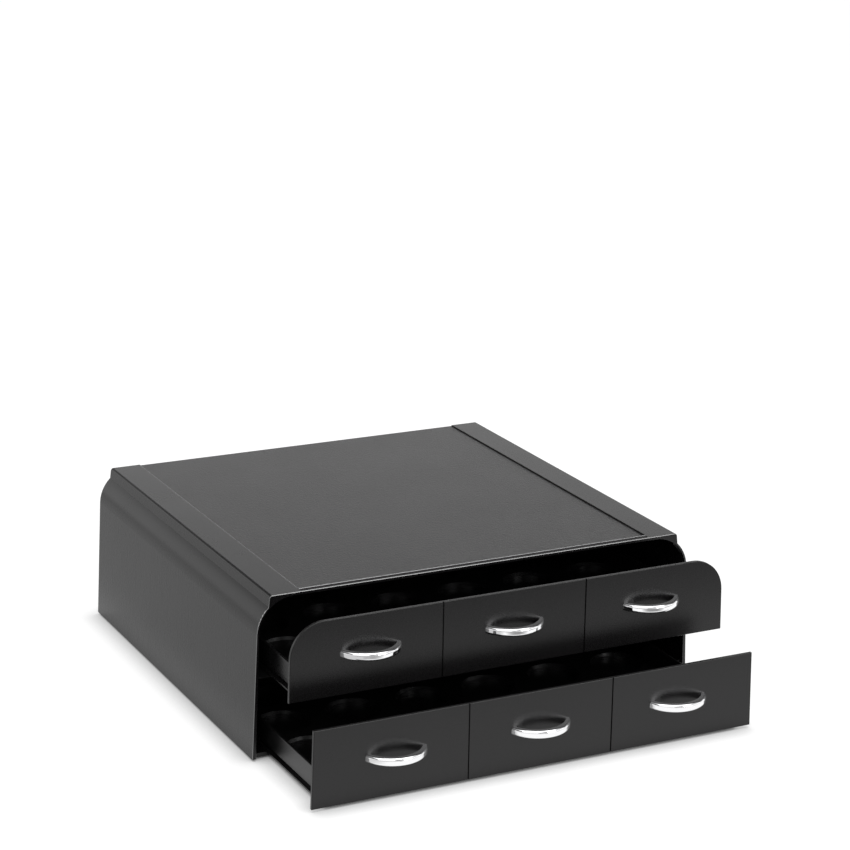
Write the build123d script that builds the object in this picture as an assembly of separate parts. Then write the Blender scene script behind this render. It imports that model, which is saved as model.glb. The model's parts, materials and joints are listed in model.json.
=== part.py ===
"""Countertop coffee pod organiser: a low casing that carries a coffee maker on its deck, with two
full-width pull-out drawers, each holding six rows of six single-serve pods.

Millimetres, +X to the right seen from the front, +Y to the back, +Z up. The drawers are shown
partly pulled out. Everything is drawn from the centre of the casing's underside, and written out
from the centre of the ground that the whole object takes up, where its feet stand.
"""
from build123d import *
import math
import os

os.makedirs("parts", exist_ok=True)

# Casing, outside
WIDTH = 364.0
DEPTH = 328.0
HEIGHT = 122.5
FRONT = -DEPTH / 2
BACK = DEPTH / 2
HALF = WIDTH / 2
WALL = 2.4
WALL_DRAFT = 2.27                # degrees, the sides lean in towards the top
SHOULDER_INSET = 32.1            # centre of the rounded shoulder, in from the widest point
SHOULDER_HEIGHT = 93.5
SLAB_INSET = 13.5                # edge of the flat top slab
SLAB_ROUND = 2.4
RIM_ROUND = 0.5                  # rounded edges of the casing's front
NOTCH_INSET = 12.8               # where the shoulder's curve meets the slab's upright edge

# Front opening, inside the shell's front rim
RIM_DEPTH = 2.6
OPENING_FOOT_INSET = 3.1
OPENING_DRAFT = 1.53

# Textured field on the deck
FIELD_HALF = 143.4
FIELD_MARGIN = 6.5
FIELD_DEPTH = 0.7
FIELD_ROUND = 3.0

# Shallow channel along the deck's front edge
CHANNEL_BACK = 5.7
CHANNEL_FRONT = 1.2
CHANNEL_DEEP = 0.4

# Stiffening under the deck
DECK_RIB_XS = (-100.0, -50.0, 0.0, 50.0, 100.0)
DECK_RIB_YS = (-80.0, 0.0, 80.0)
DECK_RIB_WIDTH = 1.6
DECK_RIB_DROP = 3.0
DECK_RIB_SETBACK = 12.0

# Back panel and base panel
PANEL_FIT = 0.3
BACK_THICK = 2.2
BACK_RECESS = 2.2
BASE_THICK = 1.4
BASE_EDGE_THICK = 3.0
BASE_EDGE_INSET = 12.6           # the thicker side strip guides the lower drawer
BASE_SETBACK = 3.2
POST_RADIUS = 3.3
POST_TOP = 13.0
POST_INSET = 6.8
POST_WEB = 2.0
POST_YS = (FRONT + 14.0, BACK - BACK_RECESS - BACK_THICK - POST_RADIUS - PANEL_FIT)
BACK_BOSS_RADIUS = 3.5
BACK_BOSS_LENGTH = 12.0
BACK_BOSS_INSET = 5.6
BACK_BOSS_ZS = (36.0, 92.0)
DECK_BOSS_X = 75.0
DECK_BOSS_Z = HEIGHT - WALL - 3.3

# Feet
FOOT_RADIUS = 8.0
FOOT_TIP_RADIUS = 7.0
FOOT_HEIGHT = 1.5
FOOT_X = 148.0
FOOT_Y = 132.0

# Drawers
DRAWERS = {
    "lower": {"bottom": 0.65, "out": 95.3},
    "upper": {"bottom": 62.3, "out": 52.8},
}
TRAVEL = 255.0                   # closed to fully open
FRONT_TALL = 57.7
FRONT_THICK = 2.4
FRONT_GAP = 0.6
GROOVE_X = 58.0                  # two upright grooves split a front in three
GROOVE_WIDTH = 1.3
GROOVE_DEEP = 0.9
FRONT_RIB_DEEP = 1.4
FRONT_RIB_WIDTH = 1.6
TRAY_LIFT = 1.0                  # tray's underside above the front's lower edge
TRAY_END = 312.0                 # back of the tray behind the front's face
TRAY_WALL = 1.8
FLOOR_THICK = 1.8
FLANGE_X = HALF - 13.2
FLANGE_TOP = 1.2
GROOVE_IN_X = HALF - 17.0
GROOVE_TOP = 4.2
STRIP_X = HALF - 14.8
STRIP_TOP = 7.2
TRAY_X = HALF - 14.0
TRAY_TOP = 20.8
CHANNEL_SHELF = 6.0              # inside ledge over the runner groove
CHANNEL_X = HALF - 18.5
LUG_LENGTH = 6.0
LUG_X = HALF - 10.0
LUG_BOTTOM = 9.0
LUG_TOP = 15.0

# Pod seats
SEAT_THICK = 5.0
SEAT_PITCH_X = 56.6
SEAT_PITCH_Y = 51.0
SEAT_FIRST = 30.0                # first row behind the front's face
SEATS = 6
SEAT_RADIUS = 19.2
SEAT_MOUTH_RADIUS = 20.6
SEAT_MOUTH_DEEP = 2.2
SEAT_FIT = 0.3

# Handles
HANDLE_XS = {"left": -114.0, "middle": 0.0, "right": 114.0}
HANDLE_RISE = 27.6               # handle's underside above the front's lower edge
HANDLE_TALL = 5.8
BOW_HALF = 24.0
BOW_REACH = 16.0
BOW_INNER_HALF = 19.5
BOW_INNER_REACH = 11.0
BOW_ROUND = 1.9
BOW_INNER_BREAK = 0.5

# Runner rails
RAIL_WEB_INSET = 6.0
RAIL_WEB = 1.8
RAIL_START = 24.0                # rails begin this far behind the casing's front
RAIL_TOP = 16.0                  # above the tray's underside
KEEPER_LOW = 1.8
KEEPER_TOP = 3.4
KEEPER_REACH = 16.6
LEDGE_REACH = 17.0
LEDGE_THICK = 1.8
LEDGE_GAP = 0.3
LEDGE_NOSE_THICK = 0.8
LEDGE_NOSE = 3.2
LEDGE_RAMP = 7.0
LEDGE_SETBACK = 0.4
LIP_INSET = 12.6
LIP_WIDTH = 1.5
LIP_TALL = 1.4
STOP_REACH = 12.5
STOP_LENGTH = 4.0
STOP_BOTTOM = 8.5
STOP_TOP = 15.5
STOP_GAP = 0.3
RAIL_END = 7.2                   # rails stop this far short of the back panel
STUB_RADIUS = 3.0
RAIL_SCREW_RISE = 12.0
RAIL_SCREW_YS = (-75.0, 20.0, 115.0)

# Screws
SCREW_RADIUS = 1.45
SCREW_HOLE = 1.5
HANDLE_SCREW_RADIUS = 1.2
HANDLE_SCREW_HOLE = 1.25
HANDLE_SCREW_X = 20.8
HANDLE_SCREW_DEEP = 3.0
HEAD_RADIUS = 3.0
HEAD_THICK = 1.6
HEAD_BREAK = 0.5
DRIVE_SPAN = 3.0
DRIVE_WIDTH = 0.7
DRIVE_DEEP = 0.9
FRONT_BOSS_XS = (-135.0, -45.0, 45.0, 135.0)
FRONT_BOSS_RISE = 14.0           # above the tray's underside
FRONT_BOSS_RADIUS = 3.3
FRONT_BOSS_HOLE = 3.6
WIDE_HEAD_RADIUS = 5.0


def upright(face, y_from, y_to):
    """Extrude a face drawn in X and Z along Y, between two depths."""
    plane = Plane((0, y_from, 0), x_dir=(1, 0, 0), z_dir=(0, -1, 0))
    return extrude(plane * face, amount=y_to - y_from, dir=(0, 1, 0))


def block(x_from, x_to, y_from, y_to, z_from, z_to):
    """A box given by its two corners, in any order along X."""
    size = (abs(x_to - x_from), y_to - y_from, z_to - z_from)
    centre = ((x_from + x_to) / 2, (y_from + y_to) / 2, (z_from + z_to) / 2)
    return Pos(*centre) * Box(*size)


def rod(start, direction, radius, length):
    """A cylinder that starts at a point and runs along a direction."""
    plane = Plane(start, z_dir=direction)
    return extrude(plane * Circle(radius), amount=length)


def mirrored_face(right_edges):
    """Close a symmetric face from the edges of its right half, given from the bottom up."""
    left_edges = [edge.mirror(Plane.YZ) for edge in right_edges]
    foot = right_edges[0] @ 0
    top = right_edges[-1] @ 1
    closing = [Line((-foot.X, foot.Y), (foot.X, foot.Y))]
    if abs(top.X) > 0:
        closing.append(Line((top.X, top.Y), (-top.X, top.Y)))
    return make_face(Wire([*right_edges, *left_edges, *closing]).edges())


def casing_face(inset=0.0):
    """The casing's outline seen from the front, moved inwards by a wall thickness."""
    draft = math.radians(WALL_DRAFT)
    radius = SHOULDER_INSET * math.cos(draft) - SHOULDER_HEIGHT * math.sin(draft) - inset
    centre = Vector(HALF - SHOULDER_INSET, SHOULDER_HEIGHT)
    notch = math.acos((SHOULDER_INSET - NOTCH_INSET - inset) / radius)
    foot = Vector(HALF - inset / math.cos(draft), 0)
    round_off = max(SLAB_ROUND - inset, 0.6)
    slab_x = HALF - SLAB_INSET - inset
    slab_z = HEIGHT - inset
    arc = CenterArc(centre, radius, WALL_DRAFT, math.degrees(notch) - WALL_DRAFT)
    wall = Line(foot, arc @ 0)
    edge = Line(arc @ 1, (slab_x, slab_z - round_off))
    corner = CenterArc((slab_x - round_off, slab_z - round_off), round_off, 0, 90)
    return mirrored_face([wall, arc, edge, corner])


def opening_face(gap=0.0):
    """The front opening's outline, with the shoulder's round top corners, moved inwards by a gap."""
    draft = math.radians(OPENING_DRAFT)
    reach = SHOULDER_INSET - OPENING_FOOT_INSET
    radius = reach * math.cos(draft) - SHOULDER_HEIGHT * math.sin(draft) - gap
    centre = Vector(HALF - SHOULDER_INSET, SHOULDER_HEIGHT)
    arc = CenterArc(centre, radius, OPENING_DRAFT, 90 - OPENING_DRAFT)
    foot = Vector(HALF - OPENING_FOOT_INSET - gap / math.cos(draft), 0)
    return mirrored_face([Line(foot, arc @ 0), arc])


def screw(seat, direction, length, radius=SCREW_RADIUS, head=HEAD_RADIUS):
    """A pan-head screw with a cross recess: the head on its seat, the shank along the direction."""
    shank = rod(seat, direction, radius, length)
    away = -Vector(*direction)
    cap = rod(seat, away, head, HEAD_THICK)
    rim = cap.faces().sort_by(Axis(seat, away))[-1].edges()
    cap = chamfer(rim, HEAD_BREAK)
    top = Plane(Vector(*seat) + away * HEAD_THICK, z_dir=direction)
    cross = Rectangle(DRIVE_SPAN, DRIVE_WIDTH) + Rectangle(DRIVE_WIDTH, DRIVE_SPAN)
    return shank + cap - extrude(top * cross, amount=DRIVE_DEEP)


def group(solids):
    """Separate identical solids kept together in one node."""
    return Compound([part.solid() for part in solids])


# ---------------------------------------------------------------------------- casing

def deck_ribs():
    """Ribs under the deck, crossing in a grid behind the drawers' fronts."""
    under = HEIGHT - WALL
    y_from = FRONT + DECK_RIB_SETBACK
    y_to = BACK - BACK_RECESS - BACK_THICK - BACK_BOSS_LENGTH
    reach = DECK_RIB_XS[-1] + DECK_RIB_WIDTH / 2
    half = DECK_RIB_WIDTH / 2
    ribs = [block(x - half, x + half, y_from, y_to, under - DECK_RIB_DROP, under + 0.1)
            for x in DECK_RIB_XS]
    ribs += [block(-reach, reach, y - half, y + half, under - DECK_RIB_DROP, under + 0.1)
             for y in DECK_RIB_YS]
    return ribs


def back_screw_seats():
    """Where the back panel's screws sit, as (x, z)."""
    side_x = HALF - BACK_BOSS_INSET
    seats = [(sign * (side_x - z * math.tan(math.radians(WALL_DRAFT))), z)
             for sign in (-1, 1) for z in BACK_BOSS_ZS]
    return seats + [(-DECK_BOSS_X, DECK_BOSS_Z), (DECK_BOSS_X, DECK_BOSS_Z)]


def rail_screw_places():
    """Side, height and depth of every rail screw."""
    places = []
    for drawer in DRAWERS.values():
        z = drawer["bottom"] + TRAY_LIFT + RAIL_SCREW_RISE
        places += [(side, y, z) for side in (-1, 1) for y in RAIL_SCREW_YS]
    return places


def front_channel():
    """The shallow channel along the deck's front edge, its floor sloping down to the front."""
    outline = Polyline((FRONT + CHANNEL_BACK, HEIGHT), (FRONT + CHANNEL_FRONT, HEIGHT - CHANNEL_DEEP),
                       (FRONT + CHANNEL_FRONT, HEIGHT + 1), (FRONT + CHANNEL_BACK, HEIGHT + 1), close=True)
    plane = Plane((-FIELD_HALF, 0, 0), x_dir=(0, 1, 0), z_dir=(1, 0, 0))
    return extrude(plane * make_face(outline), amount=2 * FIELD_HALF)


def casing_shell():
    """Deck and both sides in one moulding, with a rounded front rim, deck ribs and bosses."""
    outside = upright(casing_face(), FRONT, BACK)
    inside = casing_face(WALL)
    hollow = upright(inside, FRONT + RIM_DEPTH, BACK)
    mouth = upright(opening_face(), FRONT - 1, FRONT + RIM_DEPTH)
    shell = outside - hollow - mouth
    rim = shell.faces().sort_by(Axis.Y)[0].edges()
    shell = fillet([edge for edge in rim if edge.center().Z > RIM_ROUND], RIM_ROUND)

    field = Pos(0, FIELD_MARGIN / 2) * RectangleRounded(
        2 * FIELD_HALF, DEPTH - FIELD_MARGIN, FIELD_ROUND)
    field += Pos(0, BACK - FIELD_ROUND / 2) * Rectangle(2 * FIELD_HALF, FIELD_ROUND)
    shell -= extrude(Plane.XY.offset(HEIGHT - FIELD_DEPTH) * field, amount=2 * FIELD_DEPTH)
    shell -= front_channel()

    room = upright(casing_face(WALL / 2), FRONT + RIM_DEPTH, BACK)
    for rib in deck_ribs():
        shell += rib
    panel_y = BACK - BACK_RECESS - BACK_THICK
    for x, z in back_screw_seats():
        boss = rod((x, panel_y - BACK_BOSS_LENGTH, z), (0, 1, 0), BACK_BOSS_RADIUS, BACK_BOSS_LENGTH)
        shell += boss & room
        shell -= rod((x, panel_y, z), (0, -1, 0), SCREW_HOLE, BACK_BOSS_LENGTH - WALL)
    for side in (-1, 1):
        for y in POST_YS:
            post = rod((side * (HALF - POST_INSET), y, BASE_EDGE_THICK), (0, 0, 1),
                       POST_RADIUS, POST_TOP - BASE_EDGE_THICK)
            post += block(side * HALF, side * (HALF - POST_INSET), y - POST_WEB / 2, y + POST_WEB / 2,
                          BASE_EDGE_THICK, POST_TOP)
            shell += post & room
            shell -= rod((side * (HALF - POST_INSET), y, BASE_EDGE_THICK), (0, 0, 1),
                         SCREW_HOLE, POST_TOP - 2 * BASE_EDGE_THICK)
    for side, y, z in rail_screw_places():
        stub = rod((side * HALF, y, z), (-side, 0, 0), STUB_RADIUS, RAIL_WEB_INSET)
        shell += stub & room
        shell -= rod((side * (HALF - RAIL_WEB_INSET), y, z), (side, 0, 0), SCREW_HOLE, WALL - 0.4)
    return shell


def back_panel():
    """Panel that closes the back, inset between the shell's walls."""
    y_to = BACK - BACK_RECESS
    panel = upright(casing_face(WALL + PANEL_FIT), y_to - BACK_THICK, y_to)
    for x, z in back_screw_seats():
        panel -= rod((x, y_to + 1, z), (0, -1, 0), SCREW_HOLE + 0.2, BACK_THICK + 2)
    return panel


def base_panel():
    """Underside of the casing: thin in the middle, with thicker strips that guide the drawer."""
    draft_in = WALL / math.cos(math.radians(WALL_DRAFT)) + PANEL_FIT
    edge_x = HALF - draft_in - BASE_EDGE_THICK * math.tan(math.radians(WALL_DRAFT))
    y_from = FRONT + BASE_SETBACK
    y_to = BACK - BACK_RECESS - BACK_THICK - PANEL_FIT
    panel = block(-edge_x, edge_x, y_from, y_to, 0, BASE_THICK)
    for side in (-1, 1):
        panel += block(side * (HALF - BASE_EDGE_INSET), side * edge_x, y_from, y_to, 0, BASE_EDGE_THICK)
        for y in POST_YS:
            x = side * (HALF - POST_INSET)
            panel -= rod((x, y, -1), (0, 0, 1), SCREW_HOLE + 0.2, BASE_EDGE_THICK + 2)
            panel -= rod((x, y, -1), (0, 0, 1), HEAD_RADIUS + 0.3, 1 + HEAD_THICK)
    return panel


def foot(x, y):
    """Round rubber pad under the base panel, slightly tapered."""
    wide = Plane((x, y, 0)) * Circle(FOOT_RADIUS)
    tip = Plane((x, y, -FOOT_HEIGHT)) * Circle(FOOT_TIP_RADIUS)
    return loft([tip, wide], ruled=True)


def rail(side, drawer, with_ledge):
    """Runner rail on one side wall: keeper rib, end stops and, for the upper drawer, a ledge."""
    under = drawer["bottom"] + TRAY_LIFT
    y_from = FRONT + RAIL_START
    y_to = BACK - BACK_RECESS - BACK_THICK - RAIL_END
    web_out = side * (HALF - RAIL_WEB_INSET)
    web_in = side * (HALF - RAIL_WEB_INSET - RAIL_WEB)
    foot_z = under - LEDGE_GAP - LEDGE_THICK if with_ledge else BASE_EDGE_THICK
    body = block(web_out, web_in, y_from, y_to, foot_z, under + RAIL_TOP)
    body += block(web_out, side * (HALF - KEEPER_REACH), y_from, y_to,
                  under + KEEPER_LOW, under + KEEPER_TOP)

    closed_lug_back = FRONT + TRAY_END
    closed_lug_front = closed_lug_back - LUG_LENGTH
    front_stop = closed_lug_front - TRAVEL - STOP_GAP
    for y in (front_stop - STOP_LENGTH, closed_lug_back + STOP_GAP):
        body += block(web_out, side * (HALF - STOP_REACH), y, y + STOP_LENGTH,
                      under + STOP_BOTTOM, under + STOP_TOP)

    if with_ledge:
        body += ledge(side, under, y_to)
    for screw_side, y, z in rail_screw_places():
        if screw_side == side and under < z < under + RAIL_TOP:
            body -= rod((side * HALF, y, z), (-side, 0, 0), SCREW_HOLE + 0.2, 2 * RAIL_WEB_INSET)
    return body


def ledge(side, under, y_to):
    """Shelf that carries the upper drawer, thinned at the front to pass under the drawer's front."""
    top = under - LEDGE_GAP
    low = top - LEDGE_THICK
    start = FRONT + LEDGE_SETBACK
    nose_end = FRONT + LEDGE_NOSE
    outline = Polyline(
        (start, low), (start, low + LEDGE_NOSE_THICK), (nose_end, low + LEDGE_NOSE_THICK),
        (nose_end + LEDGE_RAMP, top), (y_to, top), (y_to, low), close=True)
    plane = Plane((side * (HALF - LEDGE_REACH), 0, 0), x_dir=(0, 1, 0), z_dir=(1, 0, 0))
    wall_in = WALL + low * math.tan(math.radians(WALL_DRAFT)) + PANEL_FIT
    shelf = extrude(plane * make_face(outline), amount=side * (LEDGE_REACH - wall_in))
    lip = block(side * (HALF - LIP_INSET), side * (HALF - LIP_INSET + LIP_WIDTH),
                FRONT + RAIL_START, y_to, top - 0.1, top + LIP_TALL)
    return shelf + lip


# ---------------------------------------------------------------------------- drawers

def tray_outline(under):
    """Outer outline of a tray seen from the front, with its runner grooves."""
    points = [(FLANGE_X, 0), (FLANGE_X, FLANGE_TOP), (GROOVE_IN_X, FLANGE_TOP),
              (GROOVE_IN_X, GROOVE_TOP), (STRIP_X, GROOVE_TOP), (STRIP_X, STRIP_TOP),
              (TRAY_X, STRIP_TOP + 0.6), (TRAY_X, TRAY_TOP)]
    right = [(x, under + z) for x, z in points]
    left = [(-x, z) for x, z in reversed(right)]
    return make_face(Polyline(*right, *left, close=True))


def tray_inside(under):
    """Inner outline of a tray, with the shelf over each runner groove."""
    top = TRAY_TOP + 1
    points = [(CHANNEL_X, FLOOR_THICK), (CHANNEL_X, CHANNEL_SHELF),
              (TRAY_X - TRAY_WALL, CHANNEL_SHELF), (TRAY_X - TRAY_WALL, top)]
    right = [(x, under + z) for x, z in points]
    left = [(-x, z) for x, z in reversed(right)]
    return make_face(Polyline(*right, *left, close=True))


def tray(drawer):
    """Low open tray that slides on the rails, with a stop lug on each side at its back."""
    face_y = FRONT - drawer["out"]
    under = drawer["bottom"] + TRAY_LIFT
    y_from = face_y + FRONT_THICK
    y_to = face_y + TRAY_END
    body = upright(tray_outline(under), y_from, y_to)
    body -= upright(tray_inside(under), y_from + TRAY_WALL, y_to - TRAY_WALL)
    rim = body.faces().sort_by(Axis.Z)[-1].outer_wire().edges()
    body = fillet(rim, 0.6)
    for side in (-1, 1):
        body += block(side * (TRAY_X - TRAY_WALL / 2), side * LUG_X, y_to - LUG_LENGTH, y_to,
                      under + LUG_BOTTOM, under + LUG_TOP)
    for x in FRONT_BOSS_XS:
        body -= rod((x, y_from - 1, under + FRONT_BOSS_RISE), (0, 1, 0), FRONT_BOSS_HOLE, TRAY_WALL + 2)
    return body


def seat_centres(drawer):
    """Plan positions of the pods, six columns by six rows."""
    first_y = FRONT - drawer["out"] + SEAT_FIRST
    middle = (SEATS - 1) / 2
    return [((column - middle) * SEAT_PITCH_X, first_y + row * SEAT_PITCH_Y)
            for column in range(SEATS) for row in range(SEATS)]


def seat_insert(drawer):
    """Lift-out insert on the tray's floor: a tapered round seat for every pod."""
    face_y = FRONT - drawer["out"]
    floor = drawer["bottom"] + TRAY_LIFT + FLOOR_THICK
    top = floor + SEAT_THICK
    half = CHANNEL_X - SEAT_FIT
    y_from = face_y + FRONT_THICK + TRAY_WALL + SEAT_FIT
    y_to = face_y + TRAY_END - TRAY_WALL - SEAT_FIT
    insert = block(-half, half, y_from, y_to, floor, floor + CHANNEL_SHELF - FLOOR_THICK)
    insert += block(-(TRAY_X - TRAY_WALL - SEAT_FIT), TRAY_X - TRAY_WALL - SEAT_FIT, y_from, y_to,
                    floor + CHANNEL_SHELF - FLOOR_THICK, top)
    throat = Cylinder(SEAT_RADIUS, SEAT_THICK, align=(Align.CENTER, Align.CENTER, Align.MIN))
    mouth = Pos(0, 0, SEAT_THICK - SEAT_MOUTH_DEEP) * Cone(
        SEAT_RADIUS, SEAT_MOUTH_RADIUS, SEAT_MOUTH_DEEP, align=(Align.CENTER, Align.CENTER, Align.MIN))
    seat = throat + mouth
    return insert - [Pos(x, y, floor) * seat for x, y in seat_centres(drawer)]


def front_panel(drawer):
    """Drawer front: a thin plate that fills the opening, with two grooves and bosses behind."""
    face_y = FRONT - drawer["out"]
    low = drawer["bottom"]
    back_y = face_y + FRONT_THICK
    plate = upright(opening_face(FRONT_GAP), face_y, back_y)
    plate &= block(-HALF, HALF, face_y, back_y, low, low + FRONT_TALL)
    plate = fillet(plate.faces().sort_by(Axis.Y)[0].edges(), 0.5)

    for side in (-1, 1):
        half = GROOVE_WIDTH / 2
        valley = Polyline((side * GROOVE_X - half, face_y - 0.01), (side * GROOVE_X + half, face_y - 0.01),
                          (side * GROOVE_X + half / 2, face_y + GROOVE_DEEP),
                          (side * GROOVE_X - half / 2, face_y + GROOVE_DEEP), close=True)
        plate -= extrude(Plane.XY.offset(low - 1) * make_face(valley), amount=FRONT_TALL + 2)
        rib_half = FRONT_RIB_WIDTH / 2
        plate += block(side * GROOVE_X - rib_half, side * GROOVE_X + rib_half, back_y - 0.1,
                       back_y + FRONT_RIB_DEEP, low + TRAY_LIFT + TRAY_TOP + 1, low + FRONT_TALL - 4)
    for x in FRONT_BOSS_XS:
        z = low + TRAY_LIFT + FRONT_BOSS_RISE
        plate += rod((x, back_y - 0.1, z), (0, 1, 0), FRONT_BOSS_RADIUS, TRAY_WALL)
        plate -= rod((x, back_y + TRAY_WALL, z), (0, -1, 0), SCREW_HOLE, TRAY_WALL + FRONT_THICK / 2 + 0.2)
    for x, z in handle_screw_places(drawer):
        plate -= rod((x, face_y - 1, z), (0, 1, 0), HANDLE_SCREW_HOLE + 0.2, FRONT_THICK + 2)
    return plate


def arc_radius(half_span, rise):
    """Radius of the arc over a span with a given rise."""
    return (half_span ** 2 + rise ** 2) / (2 * rise)


def handle(drawer, x):
    """Bow handle: a bar of even height that arches forwards in plan, with rounded front edges."""
    face_y = FRONT - drawer["out"]
    outer = arc_radius(BOW_HALF, BOW_REACH)
    inner = arc_radius(BOW_INNER_HALF, BOW_INNER_REACH)
    plan = Pos(0, outer - BOW_REACH) * Circle(outer) - Pos(0, inner - BOW_INNER_REACH) * Circle(inner)
    plan &= Pos(0, -BOW_REACH) * Rectangle(3 * BOW_HALF, 2 * BOW_REACH)
    low = drawer["bottom"] + HANDLE_RISE
    bow = extrude(Plane((x, face_y, low)) * plan, amount=HANDLE_TALL)
    across = bow.edges().filter_by(GeomType.CIRCLE)
    bow = fillet([edge for edge in across if edge.radius > (outer + inner) / 2], BOW_ROUND)
    across = bow.edges().filter_by(GeomType.CIRCLE)
    bow = chamfer([edge for edge in across if abs(edge.radius - inner) < 0.01], BOW_INNER_BREAK)
    for side in (-1, 1):
        bow -= rod((x + side * HANDLE_SCREW_X, face_y, low + HANDLE_TALL / 2), (0, -1, 0),
                   HANDLE_SCREW_HOLE, HANDLE_SCREW_DEEP + 0.2)
    return bow


def handle_screw_places(drawer):
    """Height and sideways place of every handle screw on one drawer."""
    z = drawer["bottom"] + HANDLE_RISE + HANDLE_TALL / 2
    return [(x + side * HANDLE_SCREW_X, z) for x in HANDLE_XS.values() for side in (-1, 1)]


def handle_screws(drawer):
    """Screws through the front panel into the handles' feet."""
    back_y = FRONT - drawer["out"] + FRONT_THICK
    length = FRONT_THICK + HANDLE_SCREW_DEEP
    return group(screw((x, back_y, z), (0, -1, 0), length, HANDLE_SCREW_RADIUS)
                 for x, z in handle_screw_places(drawer))


def front_screws(drawer):
    """Wide-headed screws that clamp the tray's front wall to the front panel."""
    seat_y = FRONT - drawer["out"] + FRONT_THICK + TRAY_WALL
    z = drawer["bottom"] + TRAY_LIFT + FRONT_BOSS_RISE
    length = TRAY_WALL + FRONT_THICK / 2
    return group(screw((x, seat_y, z), (0, -1, 0), length, SCREW_RADIUS, WIDE_HEAD_RADIUS)
                 for x in FRONT_BOSS_XS)


# ---------------------------------------------------------------------------- casing screws

def back_screws():
    """Screws through the back panel into the shell's bosses."""
    seat_y = BACK - BACK_RECESS
    return group(screw((x, seat_y, z), (0, -1, 0), BACK_THICK + BACK_BOSS_LENGTH - 2 * WALL)
                 for x, z in back_screw_seats())


def base_screws():
    """Screws up through the base panel's sunk seats into the shell's posts."""
    length = POST_TOP - 2 * BASE_EDGE_THICK
    return group(screw((side * (HALF - POST_INSET), y, HEAD_THICK), (0, 0, 1), length)
                 for side in (-1, 1) for y in POST_YS)


def rail_screws(side):
    """Screws that hold one side's two rails to the stubs on the wall."""
    seat_x = HALF - RAIL_WEB_INSET - RAIL_WEB
    return group(screw((side * seat_x, y, z), (side, 0, 0), RAIL_WEB + WALL - 0.6)
                 for place_side, y, z in rail_screw_places() if place_side == side)


# ---------------------------------------------------------------------------- write the parts

def all_parts():
    """Every node's name and shape."""
    parts = {
        "casing_shell": casing_shell(),
        "back_panel": back_panel(),
        "base_panel": base_panel(),
        "back_panel_screws": back_screws(),
        "base_panel_screws": base_screws(),
    }
    for front_or_back, y in (("front", -FOOT_Y), ("back", FOOT_Y)):
        for left_or_right, x in (("left", -FOOT_X), ("right", FOOT_X)):
            parts[f"foot_{front_or_back}_{left_or_right}"] = foot(x, y)
    for left_or_right, side in (("left", -1), ("right", 1)):
        for name, drawer in DRAWERS.items():
            parts[f"{name}_rail_{left_or_right}"] = rail(side, drawer, name == "upper")
        parts[f"rail_screws_{left_or_right}"] = rail_screws(side)
    for name, drawer in DRAWERS.items():
        parts[f"{name}_tray"] = tray(drawer)
        parts[f"{name}_pod_insert"] = seat_insert(drawer)
        parts[f"{name}_front_panel"] = front_panel(drawer)
        parts[f"{name}_front_screws"] = front_screws(drawer)
        parts[f"{name}_handle_screws"] = handle_screws(drawer)
        for place, x in HANDLE_XS.items():
            parts[f"{name}_handle_{place}"] = handle(drawer, x)
    return parts


SHOWN_FRONT = FRONT - DRAWERS["lower"]["out"] - BOW_REACH
PLACE = Pos(0, -(SHOWN_FRONT + BACK) / 2, FOOT_HEIGHT)
for node, shape in all_parts().items():
    export_step(PLACE * shape, f"parts/{node}.step")
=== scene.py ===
"""Looks of the countertop coffee pod organiser: finishes for every piece, camera, floor and light.

Metres, in the frame of the solids: +X right, +Y back, +Z up, feet on z = 0.
"""

import json
import math
from collections import namedtuple

import bpy
from mathutils import Matrix, Vector


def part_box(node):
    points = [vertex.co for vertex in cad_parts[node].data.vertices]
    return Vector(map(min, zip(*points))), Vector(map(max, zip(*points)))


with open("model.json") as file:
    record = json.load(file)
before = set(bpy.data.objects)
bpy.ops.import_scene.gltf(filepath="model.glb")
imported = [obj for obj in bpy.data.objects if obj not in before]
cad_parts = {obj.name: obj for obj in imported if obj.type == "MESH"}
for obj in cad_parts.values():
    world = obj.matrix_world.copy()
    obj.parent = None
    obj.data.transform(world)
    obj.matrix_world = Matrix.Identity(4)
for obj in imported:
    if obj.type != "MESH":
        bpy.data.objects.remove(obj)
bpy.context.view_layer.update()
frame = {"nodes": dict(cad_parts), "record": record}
nodes = frame["nodes"]
MM = 0.001
WHITE = (1.0, 1.0, 1.0, 1.0)

# Deck, read from the casing's own box
CASING_LOW, CASING_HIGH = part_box("casing_shell")
DECK_TOP = CASING_HIGH.z
DECK_LEVEL = DECK_TOP - 0.3 * MM                  # above this only the deck's own top
FIELD_HALF = 143.4 * MM
FIELD_DEEP = 0.7 * MM
FIELD_FRONT = CASING_LOW.y + 6.5 * MM
FIELD_FLOOR = (DECK_TOP - 1.5 * FIELD_DEEP, DECK_TOP - 0.5 * FIELD_DEEP)
RIDGE_FRONT = CASING_LOW.y + 5.3 * MM
RIDGE_MIDDLE = (RIDGE_FRONT + FIELD_FRONT) / 2
RIDGE_HALF = (FIELD_FRONT - RIDGE_FRONT) / 2
BORDER_WIDE = 0.8 * MM                            # how wide the deck rounds off beside the field

# Faces told apart by their normals
UPRIGHT_LEAN = (0.15, 0.5)                        # |z|: upright below the first, level above the second
EDGE_FORWARD = (-0.96, -0.2)                      # y on the rounded edges around the casing's front
EDGE_UNDER = -0.2                                 # z below which such an edge faces the worktop

# Range and mean of the noise
NOISE_LOW, NOISE_MEAN, NOISE_HIGH = 0.3, 0.5, 0.7

# A grain: features per metre, octaves, their roughness, and the stretch along each axis
Grain = namedtuple("Grain", "scale octaves rough stretch", defaults=(0.5, (1.0, 1.0, 1.0)))

# Sockets of a mix node that carry colours
MIX_FIRST, MIX_SECOND, MIX_RESULT = 6, 7, 2


# ---------------------------------------------------------------------------- node helpers

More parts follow.
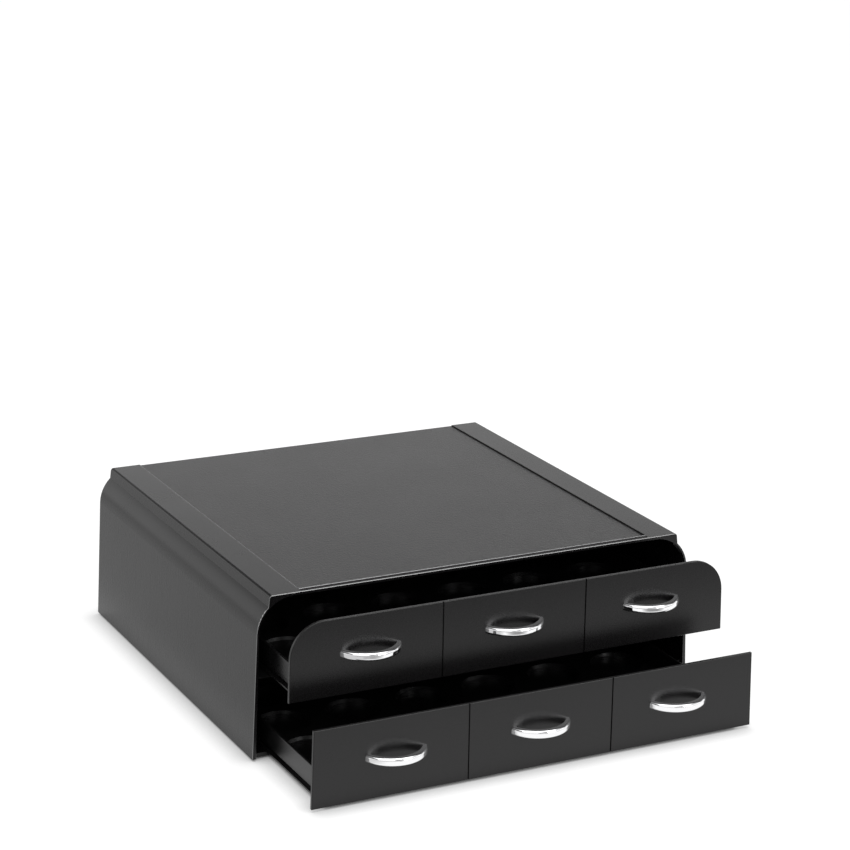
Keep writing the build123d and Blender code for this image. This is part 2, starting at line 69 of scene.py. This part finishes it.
def add_node(tree, kind, inputs=None, **settings):
    """A shader node with its settings, and with its inputs set or linked."""
    node = tree.nodes.new(kind)
    for name, value in settings.items():
        setattr(node, name, value)
    for name, value in (inputs or {}).items():
        if isinstance(value, bpy.types.NodeSocket):
            tree.links.new(value, node.inputs[name])
        else:
            node.inputs[name].default_value = value
    return node


def calculate(tree, operation, *values):
    """The result of a math node on numbers or sockets."""
    return add_node(tree, "ShaderNodeMath", dict(enumerate(values)), operation=operation).outputs[0]


def product(tree, first, *others):
    """Numbers or sockets multiplied together."""
    for other in others:
        first = calculate(tree, "MULTIPLY", first, other)
    return first


def between(tree, value, low, high):
    """1 where a value lies between two limits, 0 elsewhere."""
    return product(tree, calculate(tree, "GREATER_THAN", value, low),
                   calculate(tree, "LESS_THAN", value, high))


def axes_of(tree, output):
    """X, Y and Z of a place (Object), of a face's normal (Normal) or of a direction (Generated)."""
    vector = add_node(tree, "ShaderNodeTexCoord").outputs[output]
    return add_node(tree, "ShaderNodeSeparateXYZ", {"Vector": vector}).outputs


def noise(tree, grain):
    """Noise of a grain, from 0 to 1."""
    place = add_node(tree, "ShaderNodeTexCoord").outputs["Object"]
    stretched = add_node(tree, "ShaderNodeMapping", {"Vector": place, "Scale": grain.stretch})
    return add_node(tree, "ShaderNodeTexNoise",
                    {"Vector": stretched.outputs["Vector"], "Scale": grain.scale,
                     "Detail": grain.octaves, "Roughness": grain.rough}).outputs["Fac"]


def spread(tree, value, low, high, from_low=NOISE_LOW, from_high=NOISE_HIGH):
    """A value stretched from one range to another, held at its ends."""
    return add_node(tree, "ShaderNodeMapRange",
                    {"Value": value, "From Min": from_low, "From Max": from_high,
                     "To Min": low, "To Max": high}).outputs["Result"]


def shade(tree, color, factor):
    """A colour made darker or lighter by a factor that varies over the surface."""
    grey = add_node(tree, "ShaderNodeCombineColor",
                    {"Red": factor, "Green": factor, "Blue": factor}).outputs["Color"]
    mix = add_node(tree, "ShaderNodeMix",
                   {"Factor": 1.0, MIX_FIRST: (*color, 1.0), MIX_SECOND: grey},
                   data_type="RGBA", blend_type="MULTIPLY", clamp_result=False)
    return mix.outputs[MIX_RESULT]


def bump(tree, layers):
    """Surface relief from layers of (height from 0 to 1, depth in metres)."""
    normal = None
    for height, depth in layers:
        inputs = {"Height": height, "Distance": depth, "Strength": 1.0}
        if normal is not None:
            inputs["Normal"] = normal
        normal = add_node(tree, "ShaderNodeBump", inputs).outputs["Normal"]
    return normal


PLASTIC_IOR = 1.45


def new_finish(name, metallic=0.0):
    """A material, its node tree and its shader."""
    material = bpy.data.materials.new(name)
    material.use_nodes = True
    shader = material.node_tree.nodes["Principled BSDF"]
    shader.inputs["Metallic"].default_value = metallic
    shader.inputs["IOR"].default_value = PLASTIC_IOR
    return material, material.node_tree, shader


def finish_shader(tree, shader, color, rough, normal):
    """Link a colour, a roughness and a normal to a shader."""
    tree.links.new(color, shader.inputs["Base Color"])
    tree.links.new(rough, shader.inputs["Roughness"])
    tree.links.new(normal, shader.inputs["Normal"])


# ---------------------------------------------------------------------------- casing

CASING_BLACK = (0.0054, 0.005, 0.0054)
CASING_TONE = (0.85, 1.2)
CASING_ROUGH = (0.25, 0.27)
CASING_CLOUD = Grain(22.0, 3.0)
CASING_FINE = Grain(2600.0, 2.0)
CASING_FINE_DEPTH = 0.004 * MM
STREAKS = Grain(1.0, 4.0, 0.65, (900.0, 900.0, 45.0))
STREAK_RANGE = (-0.2, 0.2)
STREAK_ROUGH = (-0.02, 0.03)
STREAK_DEPTH = 0.008 * MM
PEBBLE = Grain(800.0, 2.0, 0.6)
PEBBLE_ROUGH = 0.02
PEBBLE_DEPTH = 0.24 * MM
RIDGE_HEIGHT = 0.3 * MM
BORDER_DEPTH = 0.3 * MM
# painted sheen on the front edges and ridge: the IOR and roughness of its coat
EDGE_SHEEN_IOR = 2.8
EDGE_SHEEN_ROUGH = 0.15


def upright_mask(tree):
    """1 on upright faces, 0 on level ones."""
    lean = calculate(tree, "ABSOLUTE", axes_of(tree, "Normal")["Z"])
    return spread(tree, lean, 1.0, 0.0, *UPRIGHT_LEAN)


def front_edge_mask(tree):
    """1 on the rounded edges around the casing's front, 0 elsewhere."""
    facing = axes_of(tree, "Normal")
    return product(tree, between(tree, facing["Y"], *EDGE_FORWARD),
                   calculate(tree, "GREATER_THAN", facing["Z"], EDGE_UNDER))


def deck_forms(tree):
    """The deck's field, the ridge in front of it and the field's border.

    The field is 1 on its floor. The ridge rises from 0 at its sides to 1 along its middle. The border
    rises from 0 to 1 where the deck rounds off towards the field.
    """
    place = axes_of(tree, "Object")
    off_middle = calculate(tree, "ABSOLUTE", place["X"])
    across = calculate(tree, "LESS_THAN", off_middle, FIELD_HALF)
    behind = calculate(tree, "GREATER_THAN", place["Y"], FIELD_FRONT)
    on_top = calculate(tree, "GREATER_THAN", place["Z"], DECK_LEVEL)
    field = product(tree, across, behind, between(tree, place["Z"], *FIELD_FLOOR))

    off_ridge = calculate(tree, "DIVIDE", calculate(tree, "SUBTRACT", place["Y"], RIDGE_MIDDLE), RIDGE_HALF)
    hump = calculate(tree, "SUBTRACT", 1.0, product(tree, off_ridge, off_ridge))
    ridge = product(tree, calculate(tree, "MAXIMUM", hump, 0.0), on_top, across)

    past = calculate(tree, "SUBTRACT", FIELD_HALF + BORDER_WIDE, off_middle)
    turn = calculate(tree, "MAXIMUM", calculate(tree, "DIVIDE", past, BORDER_WIDE), 0.0)
    border = product(tree, turn, turn, on_top, behind)
    return field, ridge, border


def casing_finish():
    """Satin black: pebbled field, faint upright grain on the sides, painted sheen on front edges and ridge.
    """
    material, tree, shader = new_finish("satin_black_plastic")
    field, ridge, border = deck_forms(tree)
    streaks = calculate(tree, "SUBTRACT", noise(tree, STREAKS), NOISE_MEAN)
    grain = product(tree, streaks, upright_mask(tree))
    color = shade(tree, CASING_BLACK, spread(tree, grain, *CASING_TONE, *STREAK_RANGE))
    rough = calculate(tree, "ADD", spread(tree, noise(tree, CASING_CLOUD), *CASING_ROUGH),
                      spread(tree, grain, *STREAK_ROUGH, *STREAK_RANGE))
    rough = calculate(tree, "ADD", rough, product(tree, field, PEBBLE_ROUGH))
    normal = bump(tree, [
        (product(tree, noise(tree, PEBBLE), field), PEBBLE_DEPTH),
        (grain, STREAK_DEPTH),
        (noise(tree, CASING_FINE), CASING_FINE_DEPTH),
        (ridge, RIDGE_HEIGHT),
        (calculate(tree, "SUBTRACT", 1.0, border), BORDER_DEPTH),
    ])
    finish_shader(tree, shader, color, rough, normal)
    # painted sheen: a strong coat on the front edges and the ridge that brightens their highlight lines
    on_ridge = calculate(tree, "GREATER_THAN", ridge, 0.0)
    painted_edge_sheen = calculate(tree, "MAXIMUM", front_edge_mask(tree), on_ridge)
    tree.links.new(painted_edge_sheen, shader.inputs["Coat Weight"])
    tree.links.new(normal, shader.inputs["Coat Normal"])
    shader.inputs["Coat Roughness"].default_value = EDGE_SHEEN_ROUGH
    shader.inputs["Coat IOR"].default_value = EDGE_SHEEN_IOR
    return material


# ---------------------------------------------------------------------------- drawers

FRONT_BLACK = (0.0044, 0.004, 0.0043)
FRONT_TONE = (0.85, 1.18)
FRONT_ROUGH = (0.27, 0.3)
FRONT_CLOUD = Grain(16.0, 2.0)
FRONT_FINE = Grain(2200.0, 3.0, 0.6)
FRONT_FINE_ROUGH = (-0.03, 0.03)
FRONT_FINE_DEPTH = 0.012 * MM
FRONT_BRUSH = Grain(1.0, 3.0, 0.6, (1100.0, 1100.0, 60.0))
FRONT_BRUSH_DEPTH = 0.008 * MM


def front_finish():
    """Drawer fronts: finely grained satin black with a faint upright brush."""
    material, tree, shader = new_finish("drawer_front_plastic")
    fine = noise(tree, FRONT_FINE)
    brush = noise(tree, FRONT_BRUSH)
    color = shade(tree, FRONT_BLACK, spread(tree, brush, *FRONT_TONE))
    rough = calculate(tree, "ADD", spread(tree, noise(tree, FRONT_CLOUD), *FRONT_ROUGH),
                      spread(tree, fine, *FRONT_FINE_ROUGH))
    normal = bump(tree, [(fine, FRONT_FINE_DEPTH), (brush, FRONT_BRUSH_DEPTH)])
    finish_shader(tree, shader, color, rough, normal)
    return material


TRAY_BLACK = (0.0062, 0.006, 0.0063)
TRAY_TONE = (0.88, 1.15)
TRAY_ROUGH = (0.24, 0.34)
TRAY_FLOW = Grain(30.0, 4.0, 0.5, (1.0, 0.35, 1.0))
TRAY_FLOW_DEPTH = 0.05 * MM
TRAY_FINE = Grain(1800.0, 2.0)
TRAY_FINE_DEPTH = 0.008 * MM


def tray_finish():
    """Trays and pod inserts: smoother moulded black with a slight flow pattern."""
    material, tree, shader = new_finish("drawer_plastic")
    flow = noise(tree, TRAY_FLOW)
    color = shade(tree, TRAY_BLACK, spread(tree, flow, *TRAY_TONE))
    rough = spread(tree, flow, *TRAY_ROUGH)
    normal = bump(tree, [(noise(tree, TRAY_FINE), TRAY_FINE_DEPTH), (flow, TRAY_FLOW_DEPTH)])
    finish_shader(tree, shader, color, rough, normal)
    return material


CHROME = (0.88, 0.88, 0.89)
CHROME_TONE = (0.97, 1.0)
CHROME_ROUGH = (0.03, 0.05)
CHROME_HAZE = Grain(600.0, 3.0)
CHROME_WAVE = Grain(90.0, 1.0)
CHROME_WAVE_DEPTH = 0.03 * MM


def chrome_finish():
    """Handles: bright plating over a moulding, very slightly uneven."""
    material, tree, shader = new_finish("handle_chrome", metallic=1.0)
    haze = noise(tree, CHROME_HAZE)
    color = shade(tree, CHROME, spread(tree, haze, *CHROME_TONE))
    rough = spread(tree, haze, *CHROME_ROUGH)
    normal = bump(tree, [(noise(tree, CHROME_WAVE), CHROME_WAVE_DEPTH)])
    finish_shader(tree, shader, color, rough, normal)
    return material


# ---------------------------------------------------------------------------- rails, screws, feet

SMALL_PIECES = (
    # slot, metallic, colour, its tone, roughness, grain, its depth
    # rails: slippery, with faint rub marks along the drawers' travel
    ("runner_plastic", 0.0, (0.0056, 0.0056, 0.0058), (0.85, 1.3), (0.28, 0.42),
     Grain(1.0, 4.0, 0.7, (700.0, 9.0, 700.0)), 0.012 * MM),
    # screws: zinc plating, slightly mottled
    ("zinc_screw", 1.0, (0.62, 0.62, 0.6), (0.8, 1.05), (0.24, 0.42),
     Grain(1500.0, 4.0, 0.7), 0.01 * MM),
    # feet: matt rubber
    ("foot_rubber", 0.0, (0.012, 0.0118, 0.0116), (0.8, 1.2), (0.7, 0.85),
     Grain(1400.0, 3.0, 0.7), 0.05 * MM),
)


def grained_finish(name, metallic, base, tone, rough_range, grain, depth):
    """One grain that varies the colour, the roughness and the relief together."""
    material, tree, shader = new_finish(name, metallic)
    height = noise(tree, grain)
    color = shade(tree, base, spread(tree, height, *tone))
    rough = spread(tree, height, *rough_range)
    finish_shader(tree, shader, color, rough, bump(tree, [(height, depth)]))
    return material


def dress_nodes():
    """Give every node the finish of its slot in the record."""
    finishes = {
        "satin_black_plastic": casing_finish(),
        "drawer_front_plastic": front_finish(),
        "drawer_plastic": tray_finish(),
        "handle_chrome": chrome_finish(),
        **{row[0]: grained_finish(*row) for row in SMALL_PIECES},
    }
    for part in frame["record"]["subparts"]:
        for slot in nodes[part["node"]].material_slots:
            slot.material = finishes[part["material_slot"]]


# ---------------------------------------------------------------------------- camera

CAMERA_PLACE = Vector((-0.8228, -1.63895, 0.7402))
CAMERA_AZIMUTH = math.radians(-26.84)
CAMERA_ELEVATION = math.radians(16.4)
CAMERA_ROLL = math.radians(0.96)
CAMERA_REACH = 50.0
FOCAL_PIXELS = 2515.0
PICTURE_PIXELS = 850.0
SENSOR = 36.0


def add_camera():
    """The photograph's camera."""
    a, e, r = CAMERA_AZIMUTH, CAMERA_ELEVATION, CAMERA_ROLL
    back = Vector((math.sin(a) * math.cos(e), -math.cos(a) * math.cos(e), math.sin(e)))
    level = Vector((math.cos(a), math.sin(a), 0.0))
    above = back.cross(level)
    right = math.cos(r) * level + math.sin(r) * above
    up = -math.sin(r) * level + math.cos(r) * above
    data = bpy.data.cameras.new("camera")
    data.sensor_width = SENSOR
    data.lens = FOCAL_PIXELS / PICTURE_PIXELS * SENSOR
    data.clip_end = CAMERA_REACH
    camera = bpy.data.objects.new("camera", data)
    turn = Matrix((right, up, back)).transposed().to_4x4()
    camera.matrix_world = Matrix.Translation(CAMERA_PLACE) @ turn
    bpy.context.scene.collection.objects.link(camera)
    bpy.context.scene.camera = camera


# ---------------------------------------------------------------------------- floor

FLOOR_HALF = 9.0
FLOOR_ALBEDO = 0.28
FLOOR_GLOW = 0.88
CONTACT_REACH = 0.02             # how near a piece must be for its painted contact shadow to darken the floor's glow
CONTACT_SAMPLES = 8
GLOSS_SHADE_FRONT = (-0.42, -0.37)      # painted reflection: gloss sees the floor darken beyond this, towards the front
FLOOR_AHEAD = 0.08
GLOSS_SHADE_SIDE = (-0.22, -0.17)      # painted reflection: and beyond this, towards the left
FLOOR_ASIDE = 0.5


def floor_glow(tree):
    """The floor's own white: even to the eye, a painted reflection darker in front and aside to gloss, a
    painted contact shadow down to none under a piece.
    """
    path = add_node(tree, "ShaderNodeLightPath").outputs
    place = axes_of(tree, "Object")
    # painted reflection: to gloss the floor looks darker ahead of and left of the object than it is to the
    # eye
    painted_gloss_shade = product(tree, spread(tree, place["Y"], FLOOR_AHEAD, 1.0, *GLOSS_SHADE_FRONT),
                    spread(tree, place["X"], FLOOR_ASIDE, 1.0, *GLOSS_SHADE_SIDE))
    gloss = product(tree, path["Is Glossy Ray"], painted_gloss_shade)
    eye = calculate(tree, "MAXIMUM", path["Is Camera Ray"], path["Is Transmission Ray"])
    # painted contact shadow: the glow fades by ambient occlusion near and under the pieces
    painted_contact_shadow = add_node(tree, "ShaderNodeAmbientOcclusion", {"Distance": CONTACT_REACH},
                    samples=CONTACT_SAMPLES).outputs["AO"]
    return product(tree, calculate(tree, "MAXIMUM", eye, gloss), painted_contact_shadow, FLOOR_GLOW)


def add_floor():
    """A plain white floor that keeps the object's shadow, with a painted contact shadow in its glow."""
    mesh = bpy.data.meshes.new("floor")
    corners = [(x * FLOOR_HALF, y * FLOOR_HALF, 0.0) for x, y in ((-1, -1), (1, -1), (1, 1), (-1, 1))]
    mesh.from_pydata(corners, [], [(0, 1, 2, 3)])
    floor = bpy.data.objects.new("floor", mesh)
    bpy.context.scene.collection.objects.link(floor)
    material, tree, shader = new_finish("floor")
    shader.inputs["Base Color"].default_value = (FLOOR_ALBEDO, FLOOR_ALBEDO, FLOOR_ALBEDO, 1.0)
    shader.inputs["Roughness"].default_value = 1.0
    shader.inputs["Specular IOR Level"].default_value = 0.0
    shader.inputs["Emission Color"].default_value = WHITE
    tree.links.new(floor_glow(tree), shader.inputs["Emission Strength"])
    mesh.materials.append(material)


# ---------------------------------------------------------------------------- light

SKY_LIGHT = 0.45                 # what lights the object
SKY_WHITE = 1.0                  # what the eye sees, and gloss near the horizon
SKY_DARK = 0.08                  # what gloss shows above the white backdrop
SKY_TOP = 1.8                    # and overhead
SKY_FADE = (math.sin(math.radians(18.5)), math.sin(math.radians(24.5)))
SKY_RISE = (math.sin(math.radians(53.0)), math.sin(math.radians(59.0)))
LAMPS = (
    # name, place, size, watts
    ("key", (-1.3, -1.6, 1.7), 2.2, 14.0),
    ("fill", (1.6, -1.2, 1.3), 1.8, 7.0),
    ("top", (0.5, -0.3, 2.4), 2.0, 14.0),
    ("low", (1.1, -2.3, 0.9), 1.2, 14.0),
)
AIM = Vector((0.0, 0.0, 0.05))


def add_world():
    """White to the eye; gloss sees it darken higher up and brighten overhead; soft even light."""
    world = bpy.data.worlds.new("studio")
    world.use_nodes = True
    bpy.context.scene.world = world
    tree = world.node_tree
    path = add_node(tree, "ShaderNodeLightPath").outputs
    height = axes_of(tree, "Generated")["Z"]
    dome = calculate(tree, "ADD", spread(tree, height, SKY_WHITE, SKY_DARK, *SKY_FADE),
                     spread(tree, height, 0.0, SKY_TOP, *SKY_RISE))
    gloss = calculate(tree, "MAXIMUM", path["Is Glossy Ray"], path["Is Transmission Ray"])
    eye = path["Is Camera Ray"]
    rest = calculate(tree, "SUBTRACT", 1.0, calculate(tree, "MAXIMUM", gloss, eye))
    seen = calculate(tree, "ADD", product(tree, eye, SKY_WHITE), product(tree, gloss, dome))
    strength = calculate(tree, "ADD", seen, product(tree, rest, SKY_LIGHT))
    background = tree.nodes["Background"]
    background.inputs["Color"].default_value = WHITE
    tree.links.new(strength, background.inputs["Strength"])


def add_lamps():
    """Soft boxes to the left, to the right, overhead and low in front."""
    for name, place, size, watts in LAMPS:
        data = bpy.data.lights.new(name, "AREA")
        data.shape = "SQUARE"
        data.size = size
        data.energy = watts
        lamp = bpy.data.objects.new(name, data)
        lamp.location = place
        lamp.visible_camera = False
        lamp.rotation_euler = (AIM - Vector(place)).to_track_quat("-Z", "Y").to_euler()
        bpy.context.scene.collection.objects.link(lamp)


dress_nodes()
add_camera()
add_floor()
add_world()
add_lamps()
bpy.context.scene.view_settings.view_transform = "Standard"
